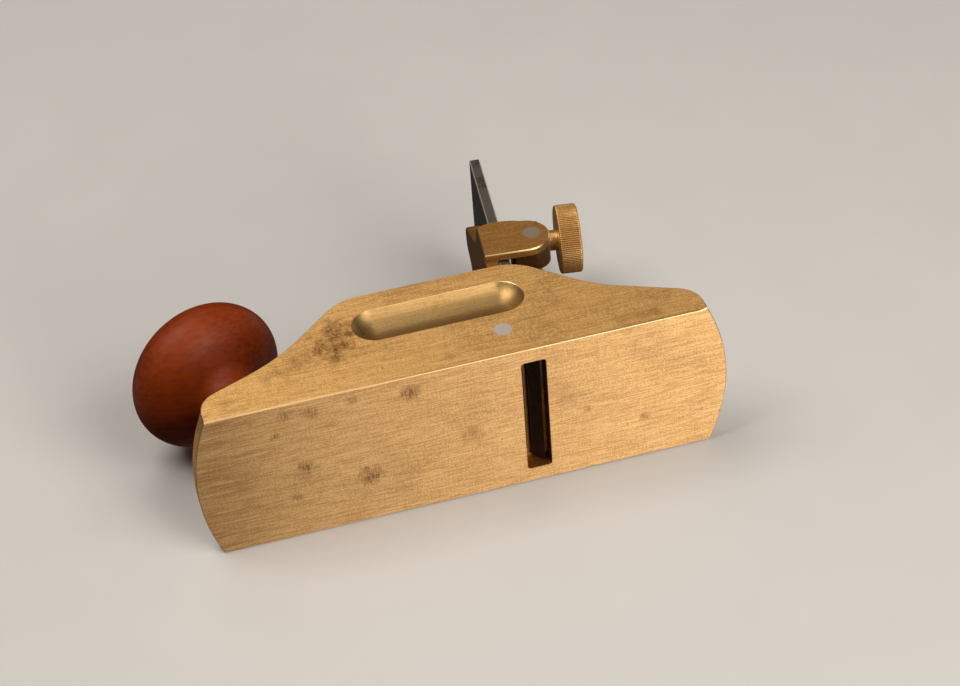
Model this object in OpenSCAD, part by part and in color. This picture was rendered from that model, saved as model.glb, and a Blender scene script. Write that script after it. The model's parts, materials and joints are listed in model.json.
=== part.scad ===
// Small scraper plane: a bronze body, a tilting frog that holds an upright scraper blade,
// a clamp cap with a thumb screw, an angle rod with two nuts, and a wooden palm knob.
// Sole at Z = 0, toe towards +X, knob towards -X, centre of the sole at the origin.

/* [Body] */
// Length of the sole over its two curved ends
sole_length = 139.7; // [132:0.1:150]
// How far the curved toe stands out past its corners
toe_sagitta = 4.9; // [3:0.1:8]
// How far the curved heel stands out past its corners
heel_sagitta = 4.4; // [3:0.1:8]
// Thickness of the floor between the cheeks
floor_thickness = 4.4; // [3.6:0.1:4.6]
// Thickness of each cheek
cheek_thickness = 4.4; // [4:0.1:5]
// Gap between the blade's sides and the cheeks, which also sets the width of the sole
blade_cheek_gap = 0.3625; // [0.3375:0.0125:0.4]
// Height of the level top of the cheeks
cheek_height = 35.4; // [34:0.1:37]
// Fillet where each cheek meets the floor
floor_fillet = 1.2; // [0.8:0.1:1.3]
// Rear end of the level top of the cheeks, before its rounding
shoulder_rear_x = -23.3; // [-27:0.1:-22]
// Front end of the level top of the cheeks, before its rounding
shoulder_front_x = 23.9; // [22:0.1:26]
// Where the steep rear slope meets the long low one
knee_rear_x = -43; // [-46:0.1:-40]
// Where the steep front slope meets the long low one
knee_front_x = 41.4; // [39:0.1:44]
// Height of the rear bend between the slopes
knee_rear_height = 17.7; // [16:0.1:19]
// Height of the front bend between the slopes
knee_front_height = 19.05; // [17.5:0.05:20]
// Height that the low slopes would have at the ends
nose_height = 8.4; // [7.6:0.1:9.5]
// How far the ends of the cheeks stand back from the ends of the sole's corners
nose_setback = 0.05; // [0:0.05:1]
// Rounding of the cheek's shoulders
shoulder_radius = 14; // [8:0.5:18]
// Rounding of the rear bend between the slopes
knee_rear_radius = 55; // [20:1:60]
// Rounding of the front bend between the slopes
knee_front_radius = 38; // [20:1:45]
// Rounding of the cheek's noses
nose_radius = 7; // [3:0.5:8]

/* [Mouth] */
// Rear edge of the mouth
mouth_rear_x = 15.5; // [15:0.1:15.8]
// Width of the mouth along the sole
mouth_opening = 6.4; // [6.2:0.1:8]
// Gap between the blade's edge and each end of the mouth
mouth_side_gap = 0.3; // [0.2:0.05:0.6]
// Radius of the mouth's corners
mouth_corner_radius = 0.8; // [0.5:0.1:1.2]

/* [Finger recesses] */
// Middle of the recess along the cheek
recess_x = 0.2; // [-4:0.1:4]
// Height of the recess's middle line
recess_z = 22.7; // [21:0.1:24]
// Radius of the round-nosed cutter that made the recess
recess_cutter_radius = 7.9; // [7.5:0.1:9]
// Depth of the recess
recess_depth = 3.15; // [2:0.05:3.4]
// Travel of the cutter along the cheek
recess_travel = 32.6; // [24:0.1:36]

/* [Frog] */
// Distance of the frog's pivot ahead of the sole's centre
pivot_x = 13.7; // [13.5:0.1:13.9]
// Height of the frog's pivot
pivot_z = 9.8; // [9.7:0.05:10]
// Diameter of the pivot pin
pivot_pin_diameter = 4.76; // [4:0.01:5]
// Forward lean of the frog as it stands
lean = 5.7; // [0:0.1:12]
// Radius of the frog's knuckle round the pivot
knuckle_radius = 4.75; // [4.4:0.05:4.9]
// Thickness of the frog's plate behind the blade
plate_thickness = 3.75; // [3:0.05:4]
// Running gap between the frog and each cheek
frog_side_gap = 0.3; // [0.2:0.05:0.6]
// How far below the pivot the blade's bed reaches
bed_below_pivot = 3; // [2:0.1:3.4]
// Thickness of the bed below the pivot
bed_thickness = 2.2; // [1.6:0.1:2.3]
// How far behind the pivot the web from the knuckle to the plate starts
web_reach = 3.3; // [3:0.1:3.6]
// Height above the pivot where that web ends
web_height = 12; // [9:0.1:14]
// Height above the pivot of the ears' lower edge
ear_bottom = 33.2; // [32:0.1:34]
// Height of each ear at its flat end
ear_height = 13.1; // [12:0.1:14]
// Thickness of each ear
ear_thickness = 2.35; // [2:0.05:3]
// Distance from the ear's flat end to the centre of its round end
ear_reach = 12.05; // [11:0.05:13]
// Radius of the crown along the ear's upper edge
ear_crown_radius = 16; // [14:0.5:24]
// Height above the pivot where the shoulders run into the tongue
shoulder_top = 50.5; // [49:0.1:53]
// Half width of the tongue where the shoulders run into it
tongue_half_width = 11.6; // [9:0.1:13]
// Height above the pivot of the tongue's rounded tip
tongue_top = 70.2; // [69:0.1:74]
// Radius of the tongue's tip
tongue_tip_radius = 4.6; // [3.5:0.1:6]

/* [Blade] */
// Width of the blade
blade_width = 34.925; // [33:0.005:34.925]
// Thickness of the blade
blade_thickness = 2.9; // [2.6:0.05:3]
// Length of the blade
blade_length = 87.6; // [80:0.1:95]
// Height of the cutting edge above the plane of the sole
edge_retract = 1.8; // [1.6:0.05:3]
// Angle of the blade's bevel
bevel_angle = 45; // [40:1:60]
// Running gap between the blade and its bed
bed_gap = 0.05; // [0.02:0.01:0.2]
// Running gap between the blade's sides and the ears
blade_side_gap = 0.28; // [0.1:0.01:0.5]

/* [Clamp cap] */
// Distance of the clamp pin ahead of the frog's rear face
clamp_pin_reach = 13.95; // [13.5:0.05:14.2]
// Height of the clamp pin above the pivot
clamp_pin_height = 40.4; // [39.9:0.1:40.9]
// Diameter of the clamp pin
clamp_pin_diameter = 4.76; // [4:0.01:5]
// Radius of the cap's lugs round the clamp pin
lug_radius = 4.75; // [4.4:0.05:5]
// Width of each lug
lug_width = 6.6; // [4:0.1:8]
// Gap between each lug and the ear beside it
lug_side_gap = 0.3; // [0.2:0.05:0.5]
// Forward lean of the cap from the blade, about the clamp pin
cap_lean = 3.3; // [0:0.1:4]
// Gap between the blade and the back of the cap's lugs, before the cap leans
cap_back_gap = 2.1; // [1.5:0.05:2.4]
// Thickness of the cap's lower arm
arm_thickness = 4.2; // [3.5:0.1:5]
// Half width of the cap's lower arm
arm_half_width = 11.4; // [8:0.1:12]
// Height above the pivot of the lip that presses on the blade
lip_height = 12; // [10:0.1:15]
// Radius of that lip
lip_radius = 1.6; // [1.2:0.1:2]
// Gap left between the lip and the blade
lip_gap = 0.05; // [0.02:0.01:0.2]
// Height above the lip where the arm has its full thickness in front
lip_taper = 3; // [2:0.1:5]
// Height above the lip where the back of the arm stands clear of the blade
lip_rise = 6; // [4:0.1:9]
// Thickness of the cap between its lugs and its boss
neck_thickness = 6; // [5:0.1:7]
// Height above the lugs where the back of the cap has stepped forward to the boss
neck_step = 3; // [2:0.1:5]
// Angle above the screw where the sides of the cap run into the boss
boss_join_angle = 24; // [10:1:40]
// Height of the thumb screw above the pivot, before the cap leans
screw_height = 61.8; // [60:0.1:62]
// Radius of the cap's boss round the thumb screw
boss_radius = 5.8; // [5:0.1:6.2]
// Distance from the blade to the back of that boss
boss_back = 3; // [2.5:0.1:4]
// Length of that boss
boss_length = 8.3; // [7:0.1:11]

/* [Thumb screw] */
// Diameter of the screw and its shank
screw_diameter = 5.7; // [5:0.05:6]
// Running gap round the screw in the cap
screw_fit = 0.06; // [0.03:0.01:0.1]
// Gap between the screw's tip and the blade
tip_gap = 0.05; // [0.02:0.01:0.2]
// Chamfer at the screw's tip, which lets the cap tilt back over the blade
tip_chamfer = 0.8; // [0.8:0.1:1.2]
// Diameter of the knurled wheel
wheel_diameter = 19.1; // [17:0.1:21]
// Thickness of the knurled wheel
wheel_thickness = 6; // [5:0.1:6.5]
// Distance from the blade to the wheel's inner face, before the cap leans
wheel_reach = 16.15; // [15:0.05:18]
// Chamfer at the wheel's two rims
wheel_chamfer = 0.5; // [0.2:0.05:0.8]
// Diameter of the shallow dish in the wheel's outer face
wheel_dish_diameter = 13; // [10:0.1:14]
// Depth of that dish
wheel_dish_depth = 0.4; // [0.2:0.05:1]

/* [Angle rod and nuts] */
// Height of the rod above the sole
rod_height = 34.3; // [33:0.1:36]
// Distance of the rod's pin behind the frog's rear face
rod_pin_behind = 6.5; // [6:0.1:7.5]
// Diameter of the rod over its thread
rod_diameter = 6.2; // [5.8:0.1:6.4]
// Depth of that thread: the rod is drawn as its core, which rises and falls inside the nuts
rod_thread_depth = 0.5; // [0.45:0.05:0.6]
// Diameter of the rod's pin
rod_pin_diameter = 3.2; // [2.5:0.1:3.5]
// Radius of the rod's eye and of the lugs that hold it
rod_eye_radius = 3.9; // [3.3:0.1:4.2]
// Thickness of the rod's eye
rod_eye_width = 6; // [4:0.1:6]
// Gap between the eye and each of its lugs
rod_eye_gap = 0.3; // [0.2:0.05:0.6]
// Thickness of each lug that holds the eye
rod_lug_thickness = 3.2; // [2.5:0.1:4]
// How far above the eye each lug runs into the plate
rod_lug_rise = 2; // [1:0.1:4]
// How far below the eye each lug runs into the plate
rod_lug_foot = 6; // [4:0.1:8]
// Angle below the pin where the lug's round end runs into its straight underside
rod_lug_angle = 37; // [30:1:60]
// Middle of the post that the rod passes through
post_x = -13.5; // [-15:0.1:-12]
// Thickness of the post
post_thickness = 6.5; // [5:0.1:8]
// Radius of the post's rounded top
post_radius = 7; // [6.5:0.1:8]
// Width of the post where it meets the floor
post_foot_width = 22; // [16:0.5:28]
// Height of the slot above and below the rod
slot_play = 0.9; // [0.7:0.1:1.2]
// Gap beside the rod in the post
slot_side_gap = 0.2; // [0.1:0.05:0.4]
// Diameter of each nut
nut_diameter = 16.5; // [14:0.1:18]
// Thickness of each nut
nut_thickness = 5; // [4:0.1:6]
// Gap between each nut and the post
nut_gap = 0.1; // [0.05:0.05:0.3]
// Gap between each nut's bore and the outside of the rod's thread
nut_fit = 0.06; // [0.03:0.01:0.1]
// Chamfer at each nut's rims
nut_chamfer = 0.5; // [0.2:0.1:1]
// Length of rod left behind the rear nut
rod_tail = 12; // [10:0.5:16]

/* [Knob] */
// Distance of the knob's centre ahead of the heel
knob_from_heel = 10.85; // [9:0.05:13]
// Height of the knob's centre
knob_z = 44.5; // [43:0.1:46]
// Backward tilt of the knob's axis
knob_tilt = 19.6; // [15:0.1:24]
// Radius of the knob at its widest
knob_radius = 20.9; // [19:0.1:22]
// Half height of the knob's flattened ball
knob_half_height = 12.2; // [11:0.1:15]
// Radius of the knob's waist, before its rounding
waist_radius = 7.2; // [6:0.1:8.5]
// Rounding of that waist
waist_rounding = 5; // [3:0.5:6]
// Angle below the knob's widest place where its neck leaves the ball
neck_angle = 48; // [44:1:54]
// Radius of the knob's foot
knob_foot_radius = 9.6; // [8.5:0.1:10]
// Distance from the knob's centre to the bottom of its foot
knob_foot_drop = 24; // [22:0.1:26]
// Radius of the body's boss under the knob
knob_boss_radius = 10.4; // [10:0.1:11]
// Diameter of the stud that holds the knob
stud_diameter = 6.35; // [5:0.05:7]
// How far the stud reaches into the knob
stud_in_knob = 20; // [12:0.5:24]
// How far the stud reaches into the boss
stud_in_boss = 12; // [8:0.5:14]

/* [Hidden] */
$fn = 96;

// Gap of a pin in the hole that it turns in, and of one pressed or glued home
pin_fit = 0.05;
seat_fit = 0.02;
// How far the rod's eye stands back inside the outline of its lugs
eye_setback = 0.3;
// Room left past each end of the knob's stud
stud_end_gap = 0.3;
// Overlap that lets two shapes of one piece join, or a cut pass a face
bite = 1;
// Steps on each rounding of an outline, and on the wide arcs of the sole's ends
arc_steps = 10;
end_facets = 240;

half_length = sole_length / 2;
inner_half_width = blade_width / 2 + blade_cheek_gap;
half_width = inner_half_width + cheek_thickness;
sole_width = 2 * half_width;
knob_x = knob_from_heel - half_length;
heel_corner_x = heel_sagitta - half_length;
toe_corner_x = half_length - toe_sagitta;
heel_radius = end_radius(heel_sagitta);
toe_radius = end_radius(toe_sagitta);

frog_half_width = inner_half_width - frog_side_gap;
blade_back = knuckle_radius + bed_gap;
blade_front = blade_back + blade_thickness;
plate_back = knuckle_radius - plate_thickness;
edge_low = (edge_retract - pivot_z + blade_front * sin(lean)) / cos(lean);
ear_inner = blade_width / 2 + blade_side_gap;
ear_outer = ear_inner + ear_thickness;
ear_end_x = plate_back + ear_reach;
ear_radius = ear_height / 2;
clamp_pin_x = plate_back + clamp_pin_reach;
lug_outer = ear_inner - lug_side_gap;
lug_inner = lug_outer - lug_width;
cap_back = blade_front + cap_back_gap;
wheel_x = blade_front + wheel_reach;
tip_x = cap_x(blade_front + tip_gap, screw_height - screw_diameter / 2 + tip_chamfer);
screw_length = wheel_x + wheel_thickness / 2 - tip_x;

// The rod's pin in the frog's own upright frame, at the height of the rod as the frog stands
rod_pin_x = plate_back - rod_pin_behind;
rod_pin_b = (rod_height - pivot_z + rod_pin_x * sin(lean)) / cos(lean);
rod_pin_world_x = pivot_x + rod_pin_x * cos(lean) + rod_pin_b * sin(lean);
front_nut_x = post_x + post_thickness / 2 + nut_gap;
rear_nut_x = post_x - post_thickness / 2 - nut_gap - nut_thickness;
rod_end_x = rear_nut_x - rod_tail;

// Radius of an end that bulges by a given amount across the sole's width
function end_radius(sagitta) = (half_width * half_width + sagitta * sagitta) / (2 * sagitta);

// Place x on the cap, before it leans, of a point at height z that then stands at x ahead of the pivot
function cap_x(x, z) =
    clamp_pin_x + (x - clamp_pin_x - (z - clamp_pin_height) * sin(cap_lean)) / cos(cap_lean);

// Unit vector from one point to another
function toward(from, to) = (to - from) / norm(to - from);

// Points of an arc of radius r that rounds the corner at p between points a and c
function rounding(a, p, c, r) =
    let (u = toward(p, a), v = toward(p, c),
         half = acos(u * v) / 2,
         middle = p + toward([0, 0], u + v) * r / sin(half),
         start = p + u * r / tan(half) - middle,
         end = p + v * r / tan(half) - middle,
         from = atan2(start.y, start.x),
         sweep = (atan2(end.y, end.x) - from + 540) % 360 - 180)
    [for (i = [0 : arc_steps]) middle + r * [cos(from + sweep * i / arc_steps),
                                             sin(from + sweep * i / arc_steps)]];

// Outline through corners [x, y, radius], where radius 0 keeps a corner sharp
function rounded(corners) =
    let (n = len(corners), at = [for (k = corners) [k.x, k.y]])
    [for (i = [0 : n - 1])
        each corners[i][2] == 0 ? [at[i]]
            : rounding(at[(i + n - 1) % n], at[i], at[(i + 1) % n], corners[i][2])];

// Puts its children on the leaning frog, with the pivot as origin
module on_frog() {
    translate([pivot_x, 0, pivot_z]) rotate([0, lean, 0]) children();
}

// Puts its children on the clamp cap, which leans further than the frog
module on_cap() {
    on_frog() translate([clamp_pin_x, 0, clamp_pin_height]) rotate([0, cap_lean, 0])
        translate([-clamp_pin_x, 0, -clamp_pin_height]) children();
}

// Puts its children on the tilted knob, with the knob's centre as origin
module on_knob() {
    translate([knob_x, 0, knob_z]) rotate([0, -knob_tilt, 0]) children();
}

// Round bar along Y, centred on the middle plane
module bar_y(radius, length) {
    rotate([90, 0, 0]) cylinder(r = radius, h = length, center = true);
}

// Round bar along X from its starting face
module bar_x(radius, length) {
    rotate([0, 90, 0]) cylinder(r = radius, h = length);
}

// Plate with an outline drawn in X and Z, between two places along Y
module slab_y(low, high) {
    translate([0, high, 0]) rotate([90, 0, 0]) linear_extrude(high - low) children();
}

// Outline of the sole seen from above, with its two bowed ends
module sole_outline() {
    intersection() {
        translate([-half_length, -half_width]) square([half_length, sole_width]);
        translate([heel_radius - half_length, 0]) circle(heel_radius, $fn = end_facets);
    }
    intersection() {
        translate([0, -half_width]) square([half_length, sole_width]);
        translate([half_length - toe_radius, 0]) circle(toe_radius, $fn = end_facets);
    }
}

// Side outline of the two cheeks
module cheek_outline() {
    rear = heel_corner_x + nose_setback;
    front = toe_corner_x - nose_setback;
    polygon(rounded([
        [rear, 0, 0], [front, 0, 0],
        [front, nose_height, nose_radius], [knee_front_x, knee_front_height, knee_front_radius],
        [shoulder_front_x, cheek_height, shoulder_radius],
        [shoulder_rear_x, cheek_height, shoulder_radius],
        [knee_rear_x, knee_rear_height, knee_rear_radius], [rear, nose_height, nose_radius]]));
}

// Open space between the cheeks, seen along the plane, with its two lower fillets
module well_outline() {
    r = floor_fillet;
    w = inner_half_width;
    top = cheek_height + bite;
    for (side = [-1, 1]) translate([side * (w - r), floor_thickness + r]) circle(r);
    translate([r - w, floor_thickness]) square([2 * (w - r), top]);
    translate([-w, floor_thickness + r]) square([2 * w, top]);
}

// Upright post for the angle rod, wider at its foot
module rod_post() {
    foot = post_foot_width / 2;
    translate([post_x - post_thickness / 2, 0, 0]) rotate([90, 0, 90])
    linear_extrude(post_thickness) {
        translate([0, rod_height]) circle(post_radius);
        polygon([[-foot, bite], [foot, bite], [post_radius, rod_height], [-post_radius, rod_height]]);
    }
}

// Tilted boss that carries the knob, cut level inside the floor
module knob_boss() {
    intersection() {
        on_knob() translate([0, 0, -knob_foot_drop - knob_z]) cylinder(r = knob_boss_radius, h = knob_z);
        translate([-sole_length, -half_width, bite]) cube([sole_length, sole_width, knob_z]);
    }
}

module body() {
    color("#c9964a")
    difference() {
        union() {
            difference() {
                intersection() {
                    linear_extrude(cheek_height) sole_outline();
                    union() {
                        slab_y(-half_width, half_width) cheek_outline();
                        translate([-sole_length, -half_width, 0])
                            cube([2 * sole_length, sole_width, floor_thickness]);
                    }
                }
                translate([-sole_length, 0, 0]) rotate([90, 0, 90])
                    linear_extrude(2 * sole_length) well_outline();
            }
            knob_boss();
            rod_post();
        }
        mouth_cut();
        translate([pivot_x, 0, pivot_z])
            bar_y(pivot_pin_diameter / 2 + seat_fit, sole_width + bite);
        for (side = [-1, 1]) finger_recess(side);
        post_slot();
        on_knob() translate([0, 0, -knob_foot_drop - stud_in_boss])
            cylinder(d = stud_diameter + 2 * seat_fit, h = stud_in_boss + bite);
    }
}

// Mouth through the floor, with rounded corners
module mouth_cut() {
    r = mouth_corner_radius;
    half = blade_width / 2 + mouth_side_gap;
    translate([mouth_rear_x, 0, -bite]) linear_extrude(floor_thickness + 2 * bite) {
        translate([r, -half]) square([mouth_opening - 2 * r, 2 * half]);
        translate([0, r - half]) square([mouth_opening, 2 * (half - r)]);
        for (x = [r, mouth_opening - r], y = [r - half, half - r]) translate([x, y]) circle(r);
    }
}

// Long recess for a fingertip, left by a round-nosed cutter moved along the cheek
module finger_recess(side) {
    axis_y = side * (half_width + recess_cutter_radius - recess_depth);
    translate([recess_x - recess_travel / 2, axis_y, recess_z]) {
        bar_x(recess_cutter_radius, recess_travel);
        for (end = [0, recess_travel]) translate([end, 0, 0]) sphere(recess_cutter_radius);
    }
}

// Upright slot in the post, which lets the rod rise and fall as the frog tilts
module post_slot() {
    r = rod_diameter / 2 + slot_side_gap;
    translate([post_x - post_thickness, 0, rod_height]) {
        for (z = [-slot_play, slot_play]) translate([0, 0, z]) bar_x(r, 2 * post_thickness);
        translate([0, -r, -slot_play]) cube([2 * post_thickness, 2 * r, 2 * slot_play]);
    }
}

// Turned half section of the knob, without the hole for its stud
module knob_section() {
    steps = 40;
    leave = [knob_radius * cos(neck_angle), -knob_half_height * sin(neck_angle)];
    slope = knob_half_height / (knob_radius * tan(neck_angle));
    waist = leave.y - (leave.x - waist_radius) * slope;
    polygon([for (i = [-steps : steps]) let (a = 90 * i / steps)
        [knob_radius * cos(a), knob_half_height * sin(a)]]);
    polygon(rounded([
        [0, -knob_foot_drop, 0], [knob_foot_radius, -knob_foot_drop, 0],
        [waist_radius, waist, waist_rounding], [leave.x, leave.y, 0], [0, leave.y, 0]]));
}

module knob() {
    color("#a8431c")
    difference() {
        on_knob() rotate_extrude() knob_section();
        on_knob() translate([0, 0, -knob_foot_drop - bite])
            cylinder(d = stud_diameter + 2 * seat_fit, h = stud_in_knob + bite + stud_end_gap);
    }
}

module knob_stud() {
    color("#8c8f93")
    on_knob() translate([0, 0, stud_end_gap - knob_foot_drop - stud_in_boss])
        cylinder(d = stud_diameter, h = stud_in_boss + stud_in_knob - stud_end_gap);
}

// Upright outline of the frog's plate, seen from behind
module plate_outline() {
    tip = tongue_top - tongue_tip_radius;
    translate([0, tip]) circle(tongue_tip_radius);
    polygon([
        [-frog_half_width, -bed_below_pivot], [frog_half_width, -bed_below_pivot],
        [frog_half_width, ear_bottom], [ear_outer, ear_bottom], [ear_outer, ear_bottom + ear_height],
        [tongue_half_width, shoulder_top], [tongue_tip_radius, tip], [-tongue_tip_radius, tip],
        [-tongue_half_width, shoulder_top], [-ear_outer, ear_bottom + ear_height],
        [-ear_outer, ear_bottom], [-frog_half_width, ear_bottom]]);
}

// Side outline of an ear: flat at the rear, crowned along its top, round in front
module ear_outline() {
    middle_z = ear_bottom + ear_radius;
    crown_z = ear_bottom + ear_height;
    rise = ear_crown_radius - sqrt(pow(ear_crown_radius, 2) - pow(ear_reach / 2, 2));
    translate([ear_end_x, middle_z]) circle(ear_radius);
    intersection() {
        translate([plate_back, ear_bottom]) square([ear_reach, ear_height + 2 * rise]);
        union() {
            translate([plate_back, ear_bottom]) square([ear_reach, ear_height]);
            translate([plate_back + ear_reach / 2, crown_z + rise - ear_crown_radius])
                circle(ear_crown_radius);
        }
    }
}

// Side outline of the two lugs behind the frog that hold the rod's eye
module rod_lug_outline() {
    translate([rod_pin_x, rod_pin_b]) circle(rod_eye_radius);
    polygon([
        [rod_pin_x, rod_pin_b + rod_eye_radius],
        [plate_back + bite, rod_pin_b + rod_eye_radius + rod_lug_rise],
        [plate_back + bite, rod_pin_b - rod_eye_radius - rod_lug_foot],
        [plate_back, rod_pin_b - rod_eye_radius - rod_lug_foot],
        [rod_pin_x - rod_eye_radius * cos(rod_lug_angle),
         rod_pin_b - rod_eye_radius * sin(rod_lug_angle)]]);
}

module frog() {
    lug_half = rod_eye_width / 2 + rod_eye_gap;
    color("#b98a3e")
    on_frog() difference() {
        union() {
            translate([plate_back, 0, 0]) rotate([90, 0, 90])
                linear_extrude(plate_thickness) difference() {
                    plate_outline();
                    translate([-sole_width, -knuckle_radius]) square([2 * sole_width, knuckle_radius]);
                }
            bar_y(knuckle_radius, 2 * frog_half_width);
            translate([knuckle_radius - bed_thickness, -frog_half_width, -bed_below_pivot])
                cube([bed_thickness, 2 * frog_half_width, bed_below_pivot]);
            slab_y(-frog_half_width, frog_half_width)
                polygon([[-web_reach, 0], [plate_back + bite, 0], [plate_back + bite, web_height],
                         [plate_back, web_height]]);
            for (side = [-1, 1]) {
                slab_y(min(side * ear_inner, side * ear_outer), max(side * ear_inner, side * ear_outer))
                    ear_outline();
                slab_y(min(side * lug_half, side * (lug_half + rod_lug_thickness)),
                       max(side * lug_half, side * (lug_half + rod_lug_thickness)))
                    rod_lug_outline();
            }
        }
        bar_y(pivot_pin_diameter / 2 + pin_fit, sole_width);
        translate([clamp_pin_x, 0, clamp_pin_height])
            bar_y(clamp_pin_diameter / 2 + seat_fit, sole_width + bite);
        translate([rod_pin_x, 0, rod_pin_b])
            bar_y(rod_pin_diameter / 2 + seat_fit, 2 * (lug_half + rod_lug_thickness + bite));
    }
}

module frog_pivot_pin() {
    color("#a3a4a6")
    translate([pivot_x, 0, pivot_z]) bar_y(pivot_pin_diameter / 2, sole_width);
}

// Blade on edge: its bevel faces the heel and rises from the cutting edge in front
module blade() {
    bevel_rise = blade_thickness * tan(bevel_angle);
    color("#4a4b4d")
    on_frog() slab_y(-blade_width / 2, blade_width / 2)
        polygon([
            [blade_front, edge_low], [blade_front, edge_low + blade_length],
            [blade_back, edge_low + blade_length], [blade_back, edge_low + bevel_rise]]);
}

// Side outline of the cap's two lugs: flat below and behind, round in front
module lug_outline() {
    translate([clamp_pin_x, clamp_pin_height]) circle(lug_radius);
    translate([cap_back, clamp_pin_height - lug_radius])
        square([clamp_pin_x - cap_back, 2 * lug_radius]);
}

// Side outline of the cap's middle: lip, arm, and the part that steps forward to the boss
module arm_outline() {
    boss_x = blade_front + boss_back;
    lip_x = cap_x(blade_front + lip_gap + lip_radius, lip_height);
    arm_front = cap_back + arm_thickness;
    translate([lip_x, lip_height]) circle(lip_radius);
    polygon([
        [lip_x, lip_height - lip_radius], [arm_front, lip_height + lip_taper],
        [arm_front, clamp_pin_height - lug_radius], [boss_x + neck_thickness, clamp_pin_height + lug_radius],
        [boss_x + neck_thickness, screw_height], [boss_x, screw_height],
        [boss_x, clamp_pin_height + lug_radius + neck_step],
        [cap_back, clamp_pin_height + lug_radius - bite], [cap_back, lip_height + lip_rise],
        [lip_x - lip_radius, lip_height]]);
}

// Outline of the cap seen from in front, from its wide lower arm to its round upper end
module cap_face_outline() {
    taper_z = clamp_pin_height + lug_radius;
    join = [boss_radius * cos(boss_join_angle), screw_height + boss_radius * sin(boss_join_angle)];
    translate([0, screw_height]) circle(boss_radius);
    polygon([
        [-arm_half_width, lip_height - lip_radius - bite], [arm_half_width, lip_height - lip_radius - bite],
        [arm_half_width, clamp_pin_height - lug_radius], [lug_outer, clamp_pin_height - lug_radius],
        [lug_outer, taper_z], [join.x, join.y], [-join.x, join.y], [-lug_outer, taper_z],
        [-lug_outer, clamp_pin_height - lug_radius], [-arm_half_width, clamp_pin_height - lug_radius]]);
}

module clamp_cap() {
    color("#c39345")
    on_cap() difference() {
        union() {
            intersection() {
                slab_y(-lug_outer, lug_outer) arm_outline();
                rotate([90, 0, 90]) linear_extrude(wheel_x) cap_face_outline();
            }
            for (side = [-1, 1])
                slab_y(min(side * lug_inner, side * lug_outer), max(side * lug_inner, side * lug_outer))
                    lug_outline();
            translate([blade_front + boss_back, 0, screw_height]) bar_x(boss_radius, boss_length);
        }
        translate([clamp_pin_x, 0, clamp_pin_height])
            bar_y(clamp_pin_diameter / 2 + pin_fit, sole_width);
        translate([blade_front, 0, screw_height]) bar_x(screw_diameter / 2 + screw_fit, 2 * wheel_x);
    }
}

module clamp_pin() {
    color("#a3a4a6")
    on_frog() translate([clamp_pin_x, 0, clamp_pin_height])
        bar_y(clamp_pin_diameter / 2, 2 * ear_outer);
}

// Threaded screw with its shank, whose outer end sits in the wheel
module thumb_screw() {
    color("#c9a050")
    on_cap() translate([tip_x, 0, screw_height]) rotate([0, 90, 0]) rotate_extrude()
        polygon([
            [0, 0], [screw_diameter / 2 - tip_chamfer, 0], [screw_diameter / 2, tip_chamfer],
            [screw_diameter / 2, screw_length], [0, screw_length]]);
}

// Turned half section of a wheel or nut: radius, thickness and rim chamfer
module disc_section(radius, thickness, chamfer) {
    polygon([
        [0, 0], [radius - chamfer, 0], [radius, chamfer], [radius, thickness - chamfer],
        [radius - chamfer, thickness], [0, thickness]]);
}

module thumb_wheel() {
    color("#c9a050")
    on_cap() translate([wheel_x, 0, screw_height]) rotate([0, 90, 0]) difference() {
        rotate_extrude() disc_section(wheel_diameter / 2, wheel_thickness, wheel_chamfer);
        translate([0, 0, wheel_thickness - wheel_dish_depth])
            cylinder(d = wheel_dish_diameter, h = wheel_dish_depth + bite);
        translate([0, 0, -bite])
            cylinder(d = screw_diameter + 2 * screw_fit, h = wheel_thickness / 2 + bite + seat_fit);
    }
}

// Threaded rod with an eye at its front end
module angle_rod() {
    color("#9a9ca0")
    difference() {
        union() {
            translate([rod_end_x, 0, rod_height])
                bar_x(rod_diameter / 2 - rod_thread_depth, rod_pin_world_x - rod_end_x);
            translate([rod_pin_world_x, 0, rod_height]) bar_y(rod_eye_radius - eye_setback, rod_eye_width);
        }
        translate([rod_pin_world_x, 0, rod_height])
            bar_y(rod_pin_diameter / 2 + pin_fit, rod_eye_width + bite);
    }
}

module rod_pin() {
    color("#a3a4a6")
    on_frog() translate([rod_pin_x, 0, rod_pin_b])
        bar_y(rod_pin_diameter / 2, rod_eye_width + 2 * rod_eye_gap + 2 * rod_lug_thickness);
}

// Knurled nut on the angle rod, starting at its rear face
module rod_nut(x) {
    translate([x, 0, rod_height]) rotate([0, 90, 0]) difference() {
        rotate_extrude() disc_section(nut_diameter / 2, nut_thickness, nut_chamfer);
        translate([0, 0, -bite]) cylinder(d = rod_diameter + 2 * nut_fit, h = nut_thickness + 2 * bite);
    }
}

module front_nut() {
    color("#c9a050") rod_nut(front_nut_x);
}

module rear_nut() {
    color("#c9a050") rod_nut(rear_nut_x);
}

body();
knob();
knob_stud();
frog();
frog_pivot_pin();
blade();
clamp_cap();
clamp_pin();
thumb_screw();
thumb_wheel();
angle_rod();
rod_pin();
front_nut();
rear_nut();
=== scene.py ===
"""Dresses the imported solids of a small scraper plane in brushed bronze, dark steel and oiled cherry."""

import json
import math

import bmesh
import bpy
from mathutils import Matrix, Vector


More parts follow.
